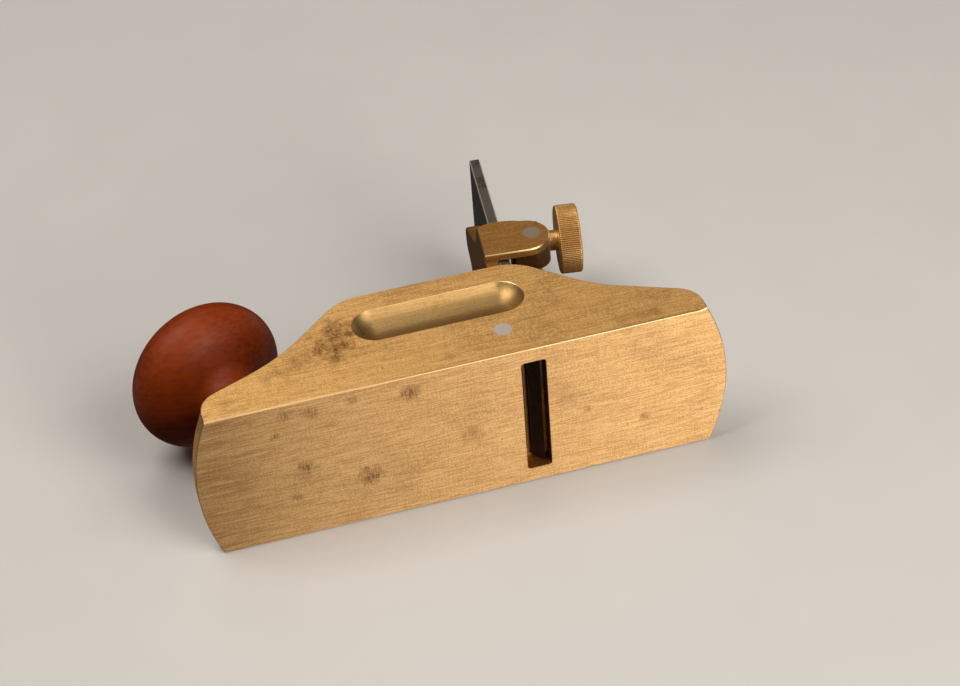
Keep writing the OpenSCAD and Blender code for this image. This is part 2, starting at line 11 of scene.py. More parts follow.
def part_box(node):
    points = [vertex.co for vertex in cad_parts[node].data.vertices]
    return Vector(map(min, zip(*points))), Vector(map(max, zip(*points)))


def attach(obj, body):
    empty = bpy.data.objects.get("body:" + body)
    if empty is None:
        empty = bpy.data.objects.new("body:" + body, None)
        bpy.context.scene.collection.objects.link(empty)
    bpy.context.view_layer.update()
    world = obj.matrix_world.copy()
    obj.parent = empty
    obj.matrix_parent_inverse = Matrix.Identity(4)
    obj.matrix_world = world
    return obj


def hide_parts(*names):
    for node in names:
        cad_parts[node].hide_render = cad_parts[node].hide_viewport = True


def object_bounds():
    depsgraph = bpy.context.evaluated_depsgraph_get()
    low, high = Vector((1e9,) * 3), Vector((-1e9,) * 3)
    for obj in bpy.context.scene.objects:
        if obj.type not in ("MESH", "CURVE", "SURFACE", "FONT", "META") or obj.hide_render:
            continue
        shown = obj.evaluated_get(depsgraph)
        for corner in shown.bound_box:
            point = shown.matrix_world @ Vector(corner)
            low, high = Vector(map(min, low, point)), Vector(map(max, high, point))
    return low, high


bl_info = {
    "name": "Small scraper plane",
    "version": (1, 0, 0),
    "blender": (4, 5, 0),
    "location": "3D View > Sidebar > Scraper plane",
    "description": "Builds the looks of a small scraper plane around its packed solids",
    "category": "Object",
}

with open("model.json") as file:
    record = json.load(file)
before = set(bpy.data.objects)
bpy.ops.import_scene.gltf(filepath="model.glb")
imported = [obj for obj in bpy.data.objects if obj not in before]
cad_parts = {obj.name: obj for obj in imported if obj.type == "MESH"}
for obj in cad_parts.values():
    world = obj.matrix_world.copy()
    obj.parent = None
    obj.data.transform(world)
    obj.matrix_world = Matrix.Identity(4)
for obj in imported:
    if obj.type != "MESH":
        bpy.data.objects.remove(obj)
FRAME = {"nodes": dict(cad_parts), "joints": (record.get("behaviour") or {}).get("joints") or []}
CAD_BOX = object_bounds()

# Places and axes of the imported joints, in metres
JOINTS = {joint["name"]: joint for joint in FRAME["joints"]}
WHEEL_CENTRE = Vector(JOINTS["wheel_turn"]["pos_m"])
SCREW_AXIS = Vector(JOINTS["wheel_turn"]["axis"]).normalized()
FROG_UP = Vector(JOINTS["blade_slide"]["axis"]).normalized()
NUT_HEIGHT = JOINTS["front_nut_turn"]["pos_m"][2]
FORWARD = Vector((1, 0, 0))
ACROSS = Vector((0, 1, 0))

# Room for comparing places, and the distance below which two corners are one, in metres
NEAR = 0.00001
SAME_POINT = 0.000002

# How far outside a pin an edge still belongs to the pin's hole
PIN_ROOM = 0.0004

# The mouth's walls end below this height and this far to each side
MOUTH_TOP = 0.012
MOUTH_SIDE = 0.0181

# How far a face of the finger recess may lie from the cutter's round
RECESS_TOLERANCE = 0.0002

# How near the sides of the cap an edge lies in the gap, where its chamfer is painted dark as shade
BESIDE_GAP = 0.0007

# Lengths of the blade's lower end that stays sharp and of the rod's eye
SHARP_BLADE_END = 0.008
ROD_EYE = 0.009

# Chamfer of a bore, and slope between the wheel's outer face and its dish
BORE_CHAMFER = 0.0004
DISH_SLOPE = 0.0003

# Radius of the stud's hole, and of the tiny opening left at the knob's crown
STUD_HOLE = 0.0034
CROWN_OPENING = 0.00005

# Faces that meet at less than the first angle are joined, and edges above the second are rounded
FLAT_ANGLE = math.radians(0.2)
SHARP_ANGLE = math.radians(32)

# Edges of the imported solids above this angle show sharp
NODE_SHARP_ANGLE = math.radians(30)

# One part of a face's normal beyond which it is the floor, an end, a side or the frog's rear
FLOOR_NORMAL = 0.99
END_NORMAL = 0.95
SIDE_NORMAL = 0.9
REAR_NORMAL = -0.6

# A floor face with more corners than this is split before the rounding
FLOOR_CORNERS = 20

# Size of the brushing's UV map for each metre of the piece
UV_SCALE = 10

# Steps of the lathe for each ridge of a knurl
RIDGE_STEPS = 4

# Places of the colour sockets on a Mix node
MIX_FIRST, MIX_SECOND, MIX_RESULT = 6, 7, 2

# Rubbed dark patches of the sole as x, y, radius and strength
SOLE_SMUDGES = (
    (-0.0257, 0.0072, 0.0042, 1.0),
    (-0.0420, -0.0004, 0.0034, 0.9),
    (-0.0450, -0.0187, 0.0036, 0.6),
    (-0.0395, -0.0183, 0.0034, 0.6),
    (-0.0547, -0.0186, 0.0026, 0.45),
    (-0.0484, -0.0129, 0.0020, 0.7),
    (-0.0453, 0.0088, 0.0024, 0.6),
    (-0.0280, -0.0188, 0.0020, 0.5),
    (-0.0133, -0.0176, 0.0042, 0.7),
    (0.0013, 0.0007, 0.0050, 0.42),
    (0.0323, 0.0020, 0.0016, 0.5),
    (0.0459, -0.0139, 0.0034, 0.3),
    (0.0475, 0.0092, 0.0020, 0.6),
)

# Rubbed dark patches of the right cheek as x, z, radius and strength
CHEEK_SMUDGES = (
    (-0.0292, 0.0178, 0.0080, 1.0),
    (-0.0262, 0.0228, 0.0070, 0.9),
    (-0.0370, 0.0148, 0.0060, 0.5),
    (-0.0249, 0.0195, 0.0020, 0.5),
    (-0.0432, 0.0124, 0.0042, 0.5),
    (-0.0470, 0.0112, 0.0030, 0.4),
    (-0.0594, 0.0047, 0.0030, 0.35),
    (-0.0015, 0.0044, 0.0024, 0.4),
    (0.0292, 0.0207, 0.0022, 0.5),
    (0.0428, 0.0026, 0.0024, 0.4),
    (0.0490, 0.0028, 0.0030, 0.45),
    (0.0525, 0.0030, 0.0028, 0.45),
)

# Along X the sole's rear is painted darker as shade: darkest at the first of these places and clear from
# the second on
SHADED_REAR = (-0.07, -0.036)

# The camera's place, and its directions to the right, up and back
CAMERA_PLACE = (-0.1089, -0.46017, -0.50889)
CAMERA_RIGHT = (0.96122498, 0.06220375, -0.26865821)
CAMERA_UP = (0.21819904, -0.76729408, 0.60303314)
CAMERA_BACK = (-0.16862893, -0.63827148, -0.75111504)

# Each soft light's name, place, size and the setting that holds its power
LIGHTS = (
    ("Key light", (0.38, -0.72, -0.48), 0.5, "key"),
    ("Back light", (-0.06, -0.82, 0.48), 0.45, "back"),
    ("Top light", (-0.4, -0.9, 0.08), 0.6, "top"),
    ("Front light", (0.38, -0.3, -0.91), 0.45, "front"),
    ("Left light", (0.4, 0.8, 0.4), 0.8, "left"),
    ("Rear light", (-0.85, 0.25, 0.45), 0.6, "rear"),
    ("Toe light", (0.85, 0.1, 0.5), 0.6, "toe"),
)
LIGHT_AIM = Vector((0, 0, 0.03))
WARM_WHITE = (1.0, 0.95, 0.88)
PALE_WHITE = (1.0, 0.985, 0.96)

# Half the table's side, its gap to the left cheek, and the ray length below which it is clear
TABLE_HALF = 1.6
TABLE_GAP = 0.0001
TABLE_CLOSE = 0.001


def along(axis):
    """A turn that takes Z to an axis in the plane's middle section."""
    return Matrix((ACROSS.cross(axis), ACROSS, axis)).transposed().to_4x4()


def colour(description, value):
    """A colour property with its default."""
    return bpy.props.FloatVectorProperty(
        name=description, description=description, subtype="COLOR", size=3, min=0, max=1, default=value
    )


def length(description, value):
    """A length property in metres with its default."""
    return bpy.props.FloatProperty(
        name=description, description=description, unit="LENGTH", min=0, max=0.05, default=value
    )


def share(description, value, high=1.0):
    """A plain number property with its default."""
    return bpy.props.FloatProperty(
        name=description, description=description, min=0, max=high, default=value
    )


def count(description, value):
    """A whole number property with its default."""
    return bpy.props.IntProperty(name=description, description=description, min=3, max=400, default=value)


class BodySettings(bpy.types.PropertyGroup):
    """Sizes and colours of the bronze body."""

    cheek: colour("Colour of the brushed cheeks", (0.98, 0.6, 0.22))
    recess: colour("Colour of the smooth finger recesses", (0.52, 0.335, 0.135))
    sole: colour("Colour of the rubbed sole", (0.9, 0.588, 0.265))
    # This dark colour is painted shade on the walls inside the mouth
    mouth: colour("Colour of the tarnished walls of the mouth", (0.34, 0.14, 0.025))
    edge_bronze: colour("Colour of the worn edges", (0.84, 0.54, 0.26))
    # The tarnish colour also serves as the painted shade at the sole's rear
    shade: colour("Colour of the tarnish", (0.12, 0.03, 0.004))
    sole_chamfer: length("Width of the chamfer between sole and cheeks", 0.00038)
    edge: length("Rounding of the other edges", 0.00014)
    cutter_radius: length("Radius of the cutter that made the finger recesses", 0.0079)
    recess_depth: length("Depth of the finger recesses", 0.00315)
    recess_travel: length("Travel of that cutter along the cheek", 0.0326)
    recess_x: length("Middle of the recesses along the cheek", 0.0002)
    recess_z: length("Height of the recesses' middle line", 0.0227)
    mouth_x: length("Middle of the mouth along the sole", 0.0187)
    mouth_reach: length("Half of the mouth's width with some room", 0.0036)
    roughness: share("Roughness of the brushed cheeks", 0.5)
    sole_roughness: share("Roughness of the brushed sole", 0.6)
    recess_roughness: share("Roughness of the smooth finger recesses", 0.46)


class KnobSettings(bpy.types.PropertyGroup):
    """Sizes and colours of the palm knob."""

    light: colour("Colour of the light grain", (0.26, 0.035, 0.001))
    dark: colour("Colour of the dark grain", (0.11, 0.007, 0.0004))
    half_height: length("Half height of the flattened ball", 0.0122)
    neck_angle: bpy.props.FloatProperty(
        name="Neck angle",
        description="Angle below the widest place where the neck leaves the ball",
        subtype="ANGLE",
        default=math.radians(48),
    )
    tilt: bpy.props.FloatProperty(
        name="Tilt", description="Backward tilt of the knob", subtype="ANGLE", default=math.radians(19.6)
    )
    waist: length("Radius of the waist before its rounding", 0.0072)
    waist_rounding: length("Rounding of the waist", 0.005)
    foot: length("Radius of the foot", 0.0096)
    foot_drop: length("Distance from the ball's middle to the foot", 0.024)
    foot_rounding: length("Rounding of the foot", 0.0006)


class FrogSettings(bpy.types.PropertyGroup):
    """Sizes and colours of the frog and the clamp cap."""

    bronze: colour("Colour of the frog's satin bronze", (0.52, 0.27, 0.075))
    # Painted shade on the frog's rear faces and on the chamfers beside the cap's gap
    painted_shade: colour("Colour of the frog's tarnished rear and the edges by the cap", (0.22, 0.12, 0.045))
    cap: colour("Colour of the clamp cap's darker bronze", (0.22, 0.11, 0.03))
    edge: length("Chamfer at the frog's and the cap's edges", 0.00028)


class SteelSettings(bpy.types.PropertyGroup):
    """Sizes and colours of the blade, the pins and the rod."""

    blade: colour("Colour of the blade's faces", (0.15, 0.14, 0.13))
    blade_side: colour("Colour of the blade's ground sides", (0.3, 0.26, 0.22))
    blade_edge_steel: colour("Colour of the blade's worn arrises", (0.8, 0.74, 0.68))
    pin: colour("Colour of the frog's pins", (0.98, 0.88, 0.8))
    clamp_pin: colour("Colour of the duller clamp pin", (0.6, 0.48, 0.38))
    rod: colour("Colour of the rod", (0.4, 0.4, 0.4))
    blade_edge: length("Rounding of the blade's edges", 0.0003)
    thread_pitch: length("Pitch of the rod's thread", 0.00127)
    thread_radius: length("Radius of the rod over its thread", 0.0031)
    thread_core: length("Radius of the rod's core", 0.0026)


class WheelSettings(bpy.types.PropertyGroup):
    """Sizes and colours of the knurled wheel, its screw and the two nuts."""

    brass: colour("Colour of the satin brass", (0.95, 0.58, 0.2))
    screw: colour("Colour of the bright screw", (0.95, 0.66, 0.28))
    # The knurl's valleys are painted this dark colour, as grime and as painted shade between the ridges
    valley_grime_and_shade: colour("Colour of the dirt between the ridges", (0.16, 0.08, 0.025))
    wheel_teeth: count("Ridges round the wheel", 100)
    nut_teeth: count("Ridges round each nut", 88)
    knurl_depth: length("Depth of the knurl", 0.00022)
    wheel_radius: length("Radius of the wheel", 0.00955)
    wheel_thickness: length("Thickness of the wheel", 0.006)
    wheel_bore: length("Radius of the wheel's bore round the screw", 0.0029)
    wheel_rim: length("Rounding of the wheel's rims", 0.0005)
    screw_edge: length("Rounding of the screw's tip", 0.0002)
    dish_radius: length("Radius of the dish in the wheel's outer face", 0.0065)
    dish_depth: length("Depth of that dish", 0.0004)
    nut_radius: length("Radius of each nut", 0.00825)
    nut_bore: length("Radius of each nut's bore over the rod's thread", 0.0036)
    nut_rim: length("Rounding of the nuts' rims", 0.0005)


class StageSettings(bpy.types.PropertyGroup):
    """Camera, table and lights."""

    focal_length: bpy.props.FloatProperty(
        name="Focal length",
        description="Focal length in millimetres on a 36 mm sensor",
        min=20,
        default=102.39,
    )
    table: colour("Colour of the pale table", (0.68, 0.665, 0.65))
    mirrored_table: colour("Colour of the table as the metal mirrors it", (0.07, 0.062, 0.055))
    key: share("Power of the key light in watts", 3.6, 200)
    back: share("Power of the light behind the plane in watts", 0.8, 200)
    top: share("Power of the light above the right cheek in watts", 5.4, 200)
    front: share("Power of the low light before the sole in watts", 5.6, 200)
    left: share("Power of the light on the left side in watts", 3.4, 200)
    toe: share("Power of the light before the toe in watts", 1.4, 200)
    rear: share("Power of the light behind the heel in watts", 0.6, 200)
    backdrop: share("Brightness of the pale backdrop", 0.75, 10)
    room: share("Strength of the light from the room", 0.035, 10)


def shader_group(name, inputs, outputs):
    """A node group with a position, float inputs as (name, default) and named float outputs."""
    group = bpy.data.node_groups.new(name, "ShaderNodeTree")
    group.interface.new_socket("Position", in_out="INPUT", socket_type="NodeSocketVector")
    for label, value in inputs:
        socket = group.interface.new_socket(label, in_out="INPUT", socket_type="NodeSocketFloat")
        socket.default_value = value
    for label in outputs:
        group.interface.new_socket(label, in_out="OUTPUT", socket_type="NodeSocketFloat")
    return group, group.nodes.new("NodeGroupInput"), group.nodes.new("NodeGroupOutput")


def math_node(tree, operation, first, second=None, third=None):
    """A Math node whose inputs are sockets or numbers; gives its output."""
    node = tree.nodes.new("ShaderNodeMath")
    node.operation = operation
    for place, value in enumerate((first, second, third)):
        if value is None:
            continue
        if isinstance(value, (int, float)):
            node.inputs[place].default_value = value
        else:
            tree.links.new(value, node.inputs[place])
    return node.outputs[0]


def spread(tree, value, low, high, to_low=0.0, to_high=1.0):
    """A smooth Map Range from low..high to to_low..to_high; gives its output."""
    node = tree.nodes.new("ShaderNodeMapRange")
    node.interpolation_type = "SMOOTHSTEP"
    tree.links.new(value, node.inputs["Value"])
    node.inputs["From Min"].default_value = low
    node.inputs["From Max"].default_value = high
    node.inputs["To Min"].default_value = to_low
    node.inputs["To Max"].default_value = to_high
    return node.outputs["Result"]


def noise(tree, position, scale, detail=3.0, roughness=0.55):
    """A Noise Texture on a position; gives its value."""
    node = tree.nodes.new("ShaderNodeTexNoise")
    tree.links.new(position, node.inputs["Vector"])
    node.inputs["Scale"].default_value = scale
    node.inputs["Detail"].default_value = detail
    node.inputs["Roughness"].default_value = roughness
    return node.outputs["Fac"]


def make_brush_lines():
    """Fine lines left by brushing: streaks along X and thin across it."""
    group, start, end = shader_group("Brush lines", [("Along", 60.0), ("Across", 6000.0)], ["Lines"])
    size = group.nodes.new("ShaderNodeCombineXYZ")
    group.links.new(start.outputs["Along"], size.inputs["X"])
    group.links.new(start.outputs["Across"], size.inputs["Y"])
    group.links.new(start.outputs["Across"], size.inputs["Z"])
    stretched = group.nodes.new("ShaderNodeVectorMath")
    stretched.operation = "MULTIPLY"
    group.links.new(start.outputs["Position"], stretched.inputs[0])
    group.links.new(size.outputs["Vector"], stretched.inputs[1])
    lines = noise(group, stretched.outputs["Vector"], 1.0, 4.0)
    lines.node.inputs["Distortion"].default_value = 0.7
    group.links.new(lines, end.inputs["Lines"])


def make_tarnish():
    """Cloudy tarnish with a speckled edge."""
    group, start, end = shader_group("Tarnish", [("Size", 60.0), ("Amount", 0.5)], ["Mask"])
    cloud = group.nodes.new("ShaderNodeTexNoise")
    group.links.new(start.outputs["Position"], cloud.inputs["Vector"])
    group.links.new(start.outputs["Size"], cloud.inputs["Scale"])
    cloud.inputs["Detail"].default_value = 6.0
    grain = noise(group, start.outputs["Position"], 1500.0, 2.0)
    mixed = math_node(group, "MULTIPLY_ADD", grain, 0.6, cloud.outputs["Fac"])
    mask = spread(group, mixed, 0.8, 1.05)
    group.links.new(math_node(group, "MULTIPLY", mask, start.outputs["Amount"]), end.inputs["Mask"])


def make_smudge():
    """A rubbed patch round one place, broken up into short hairs or into speckles."""
    sizes = [("X", 0.0), ("Y", 0.0), ("Z", 0.0), ("Radius", 0.005), ("Amount", 0.5), ("Hairs", 1.0)]
    group, start, end = shader_group("Smudge", sizes, ["Mask"])
    centre = group.nodes.new("ShaderNodeCombineXYZ")
    for axis in "XYZ":
        group.links.new(start.outputs[axis], centre.inputs[axis])
    gap = group.nodes.new("ShaderNodeVectorMath")
    gap.operation = "DISTANCE"
    group.links.new(start.outputs["Position"], gap.inputs[0])
    group.links.new(centre.outputs["Vector"], gap.inputs[1])
    near = math_node(group, "DIVIDE", gap.outputs["Value"], start.outputs["Radius"])
    hairs = group.nodes.new("ShaderNodeMapping")
    hairs.inputs["Rotation"].default_value = (0, 0, 0.1)
    hairs.inputs["Scale"].default_value = (2600.0, 300.0, 300.0)
    group.links.new(start.outputs["Position"], hairs.inputs["Vector"])
    strands = noise(group, hairs.outputs["Vector"], 1.0, 3.0, 0.6)
    cloud = noise(group, start.outputs["Position"], 330.0, 4.0, 0.65)
    edge = math_node(group, "MULTIPLY_ADD", cloud, 2.4, near)
    soft = spread(group, edge, 1.1, 2.3, 1.0, 0.0)
    hair = spread(group, strands, 0.42, 0.58, 0.4, 1.0)
    speckle = spread(group, noise(group, start.outputs["Position"], 1500.0, 2.0), 0.44, 0.58, 0.56, 1.0)
    hair_share = math_node(group, "MULTIPLY", hair, start.outputs["Hairs"])
    rest = math_node(group, "SUBTRACT", 1.0, start.outputs["Hairs"])
    dark = math_node(group, "MULTIPLY_ADD", speckle, rest, hair_share)
    mask = math_node(group, "MULTIPLY", soft, dark)
    group.links.new(math_node(group, "MULTIPLY", mask, start.outputs["Amount"]), end.inputs["Mask"])


def make_pits():
    """Small pits scattered over a casting."""
    group, start, end = shader_group("Pits", [("Spacing", 250.0), ("Size", 0.1)], ["Mask"])
    cells = group.nodes.new("ShaderNodeTexVoronoi")
    group.links.new(start.outputs["Position"], cells.inputs["Vector"])
    group.links.new(start.outputs["Spacing"], cells.inputs["Scale"])
    inside = math_node(group, "SUBTRACT", start.outputs["Size"], cells.outputs["Distance"])
    hole = math_node(group, "MULTIPLY", inside, 12.0)
    shown = noise(group, start.outputs["Position"], 130.0, 1.0)
    rare = spread(group, shown, 0.54, 0.62)
    limit = group.nodes.new("ShaderNodeClamp")
    group.links.new(hole, limit.inputs["Value"])
    group.links.new(math_node(group, "MULTIPLY", limit.outputs["Result"], rare), end.inputs["Mask"])


def effect(tree, group, position, **values):
    """Places a shader group with its own values; gives its first output."""
    node = tree.nodes.new("ShaderNodeGroup")
    node.node_tree = bpy.data.node_groups[group]
    tree.links.new(position, node.inputs["Position"])
    for label, value in values.items():
        node.inputs[label.title()].default_value = value
    return node.outputs[0]


def mix_colour(tree, mask, first, second):
    """A colour mix of sockets or plain colours by a mask; gives its output."""
    node = tree.nodes.new("ShaderNodeMix")
    node.data_type = "RGBA"
    tree.links.new(mask, node.inputs["Factor"])
    for place, value in ((MIX_FIRST, first), (MIX_SECOND, second)):
        if hasattr(value, "is_linked"):
            tree.links.new(value, node.inputs[place])
        else:
            node.inputs[place].default_value = (*value, 1.0)
    return node.outputs[MIX_RESULT]


def mix_shaders(tree, mask, first, second, output):
    """Feeds an output's surface with a mix of two shaders by a mask."""
    node = tree.nodes.new("ShaderNodeMixShader")
    for place, socket in enumerate((mask, first.outputs[0], second.outputs[0])):
        tree.links.new(socket, node.inputs[place])
    tree.links.new(node.outputs[0], tree.nodes[output].inputs["Surface"])


def new_material(name, metallic, roughness):
    """A new material; gives its node tree, its Principled shader and the object coordinates."""
    material = bpy.data.materials.new(name)
    material.use_nodes = True
    tree = material.node_tree
    shader = tree.nodes["Principled BSDF"]
    shader.inputs["Metallic"].default_value = metallic
    shader.inputs["Roughness"].default_value = roughness
    place = tree.nodes.new("ShaderNodeTexCoord").outputs["Object"]
    return tree, shader, place


def turned_position(tree, position, angle):
    """The position turned about Y, so that brush lines follow a leaning piece."""
    node = tree.nodes.new("ShaderNodeMapping")
    node.inputs["Rotation"].default_value = (0, angle, 0)
    tree.links.new(position, node.inputs["Vector"])
    return node.outputs["Vector"]


def add_bump(tree, shader, height, distance, strength):
    """A Bump node that feeds the shader's normal."""
    bump = tree.nodes.new("ShaderNodeBump")
    bump.inputs["Strength"].default_value = strength
    bump.inputs["Distance"].default_value = distance
    tree.links.new(height, bump.inputs["Height"])
    tree.links.new(bump.outputs["Normal"], shader.inputs["Normal"])


def brushed_tangent(tree, shader, amount):
    """Stretches highlights across the brushing, which the UV map of each piece follows."""
    tangent = tree.nodes.new("ShaderNodeTangent")
    tangent.direction_type = "UV_MAP"
    tangent.uv_map = "Across the brushing"
    tree.links.new(tangent.outputs["Tangent"], shader.inputs["Tangent"])
    shader.inputs["Anisotropic"].default_value = amount


def bronze_material(
    name,
    bronze,
    roughness,
    tarnish,
    patches=(),
    hairs=1.0,
    lean=0.0,
    stretch=0.5,
    shaded_end=None,
    metallic=0.8,
    streak=0.72,
):
    """Brushed bronze with tarnish, pits, rubbed patches and, between two places along X, an end painted
    darker as shade.
    """
    tree, shader, place = new_material(name, metallic, roughness)
    shade = bpy.context.scene.plane_body.shade
    brushed = turned_position(tree, place, lean) if lean else place
    # Fine and broad lines run along the brushing, and short scratches cross it
    fine = effect(tree, "Brush lines", brushed, along=150.0, across=2600.0)
    broad = effect(tree, "Brush lines", brushed, along=40.0, across=700.0)
    crossing = effect(tree, "Brush lines", brushed, along=1900.0, across=260.0)
    # The mask is high where the metal is tarnished, pitted or rubbed dark, and at the sole's rear, where
    # shade is painted
    cloud = effect(tree, "Tarnish", place, size=55.0, amount=tarnish)
    pits = effect(tree, "Pits", place, spacing=210.0, size=0.09)
    mask = math_node(tree, "MAXIMUM", cloud, math_node(tree, "MULTIPLY", pits, 0.8))
    for (x, y, z), radius, strength in patches:
        patch = effect(tree, "Smudge", place, x=x, y=y, z=z, radius=radius, amount=strength, hairs=hairs)
        mask = math_node(tree, "MAXIMUM", mask, patch)
    # Painted shade: the sole is painted darker towards its rear end
    if shaded_end:
        parts = tree.nodes.new("ShaderNodeSeparateXYZ")
        tree.links.new(place, parts.inputs[0])
        rear_shade = spread(tree, parts.outputs["X"], *shaded_end, 0.68, 0.0)
        mask = math_node(tree, "MAXIMUM", mask, math_node(tree, "MULTIPLY", rear_shade, broad))
    # Where lines, scratches and grit add up, the bronze is browner
    grit = noise(tree, place, 2300.0, 2.0)
    lines = math_node(tree, "MULTIPLY_ADD", fine, 0.45, math_node(tree, "MULTIPLY", broad, 0.12))
    crossed = math_node(tree, "MULTIPLY_ADD", crossing, 0.14, lines)
    gritty = math_node(tree, "MULTIPLY_ADD", grit, 0.36, crossed)
    streaks = spread(tree, gritty, 0.45, 0.62, 0.0, streak)
    browner = tuple(kept * c for kept, c in zip((0.6, 0.46, 0.34), bronze))
    base = mix_colour(tree, streaks, bronze, browner)
    tree.links.new(mix_colour(tree, mask, base, shade), shader.inputs["Base Color"])
    # Lines and stains roughen it, and the pits sink in
    rough = math_node(tree, "MULTIPLY_ADD", fine, 0.16, roughness - 0.08)
    tree.links.new(math_node(tree, "MULTIPLY_ADD", mask, 0.06, rough), shader.inputs["Roughness"])
    rubbed = math_node(tree, "MULTIPLY_ADD", grit, 0.6, fine)
    height = math_node(tree, "MULTIPLY_ADD", pits, -1.5, rubbed)
    add_bump(tree, shader, height, 0.00002, 0.8)
    if stretch:
        brushed_tangent(tree, shader, stretch)


def make_materials(scene):
    """Builds the shared shader groups and every finish once."""
    make_brush_lines()
    make_tarnish()
    make_smudge()
    make_pits()
    body, frog, steel, wheel = scene.plane_body, scene.plane_frog, scene.plane_steel, scene.plane_wheel
    on_sole = [((x, y, 0.0), radius, strength) for x, y, radius, strength in SOLE_SMUDGES]
    right_cheek = CAD_BOX[0].y
    on_cheek = [((x, right_cheek, z), radius, strength) for x, z, radius, strength in CHEEK_SMUDGES]
    bronze_material("Body bronze", body.cheek, body.roughness, 0.28, on_cheek, hairs=0.15, stretch=0.6)
    bronze_material(
        "Sole bronze", body.sole, body.sole_roughness, 0.2, on_sole, stretch=0.85, shaded_end=SHADED_REAR
    )
    # The mouth's walls are painted dark as shade
    bronze_material("Mouth bronze", body.mouth, roughness=0.5, tarnish=0.4, stretch=0.0)
    bronze_material(
        "Recess bronze", body.recess, body.recess_roughness, 0.25, stretch=0.0, metallic=1.0, streak=0.4
    )
    lean = -math.atan2(FROG_UP.x, FROG_UP.z)
    bronze_material("Frog bronze", frog.bronze, roughness=0.48, tarnish=0.2, lean=lean)
    # Painted shade for the frog's rear faces and the chamfers beside the cap's gap
    bronze_material("Shaded bronze", frog.painted_shade, roughness=0.5, tarnish=0.5, lean=lean)
    bronze_material("Cap bronze", frog.cap, roughness=0.44, tarnish=0.5, lean=lean)
    bronze_material("Screw brass", wheel.screw, roughness=0.36, tarnish=0.1, lean=lean, stretch=0.0)
    bronze_material("Wheel brass", wheel.brass, roughness=0.34, tarnish=0.25, lean=lean)
    bronze_material("Nut brass", wheel.brass, roughness=0.34, tarnish=0.25)
    # Grime and painted shade for the knurl's valleys
    bronze_material("Knurl dirt", wheel.valley_grime_and_shade, roughness=0.5, tarnish=0.25)
    make_worn("Worn bronze edge", body.edge_bronze, roughness=0.34)
    make_worn("Worn steel edge", steel.blade_edge_steel, roughness=0.55)
    make_steel("Blade steel", steel.blade, roughness=0.42, speckle=0.5)
    make_steel("Blade side steel", steel.blade_side, roughness=0.5, speckle=0.7)
    make_steel("Pin steel", steel.pin, roughness=0.55, speckle=0.15)
    make_steel("Clamp pin steel", steel.clamp_pin, roughness=0.55, speckle=0.3)
    make_steel("Rod steel", steel.rod, roughness=0.3, speckle=0.2)
    make_cherry(scene.plane_knob)


def make_worn(name, tint, roughness):
    """The bright metal of a worn or freshly chamfered edge."""
    tree, shader, place = new_material(name, 1.0, roughness)
    lines = effect(tree, "Brush lines", place, along=90.0, across=3000.0)
    bright = tuple(min(1.0, 1.05 * c) for c in tint)
    tree.links.new(mix_colour(tree, lines, bright, tint), shader.inputs["Base Color"])
    rough = math_node(tree, "MULTIPLY_ADD", lines, 0.12, roughness - 0.06)
    tree.links.new(rough, shader.inputs["Roughness"])


def make_steel(name, tint, roughness, speckle):
    """Ground steel with fine lines and dark speckles."""
    tree, shader, place = new_material(name, 1.0, roughness)
    fine = effect(tree, "Brush lines", place, along=160.0, across=5000.0)
    cloud = effect(tree, "Tarnish", place, size=140.0, amount=speckle)
    base = mix_colour(tree, fine, tint, tuple(0.7 * c for c in tint))
    speckled = mix_colour(tree, cloud, base, tuple(0.18 * c for c in tint))
    tree.links.new(speckled, shader.inputs["Base Color"])
    rough = math_node(tree, "MULTIPLY_ADD", fine, 0.16, roughness - 0.08)
    tree.links.new(rough, shader.inputs["Roughness"])
    add_bump(tree, shader, fine, 0.000006, 0.5)


def make_cherry(settings):
    """Oiled cherry: long grain, fine pores and a dark line."""
    tree, shader, place = new_material("Oiled cherry", 0.0, 0.5)
    stretched = tree.nodes.new("ShaderNodeMapping")
    stretched.inputs["Scale"].default_value = (0.3, 1.0, 1.0)
    stretched.inputs["Rotation"].default_value = (0.2, 0.5, 0.3)
    tree.links.new(place, stretched.inputs["Vector"])
    grain_place = stretched.outputs["Vector"]
    clouds = noise(tree, grain_place, 70.0, 5.0)
    pores = noise(tree, grain_place, 1100.0, 3.0)
    mask = spread(tree, math_node(tree, "MULTIPLY_ADD", pores, 0.7, clouds), 0.62, 1.22)
    wave = math_node(tree, "SUBTRACT", noise(tree, grain_place, 26.0, 1.0), 0.5)
    wave = math_node(tree, "ABSOLUTE", wave)
    line = spread(tree, wave, 0.0, 0.003, 0.4, 0.0)
    wood = mix_colour(tree, mask, settings.light, settings.dark)
    ringed = mix_colour(tree, line, wood, tuple(0.12 * c for c in settings.dark))
    tree.links.new(ringed, shader.inputs["Base Color"])
    rough = math_node(tree, "MULTIPLY_ADD", pores, 0.16, 0.46)
    tree.links.new(rough, shader.inputs["Roughness"])
    shader.inputs["Specular IOR Level"].default_value = 0.22
    shader.inputs["Coat Weight"].default_value = 0.05
    shader.inputs["Coat Roughness"].default_value = 0.35
    add_bump(tree, shader, pores, 0.000012, 0.4)


def solid_copy(node):
    """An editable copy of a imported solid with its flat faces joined."""
    mesh = bmesh.new()
    mesh.from_mesh(FRAME["nodes"][node].data)
    bmesh.ops.remove_doubles(mesh, verts=mesh.verts, dist=SAME_POINT)
    bmesh.ops.dissolve_limit(mesh, angle_limit=FLAT_ANGLE, verts=mesh.verts, edges=mesh.edges)
    return mesh


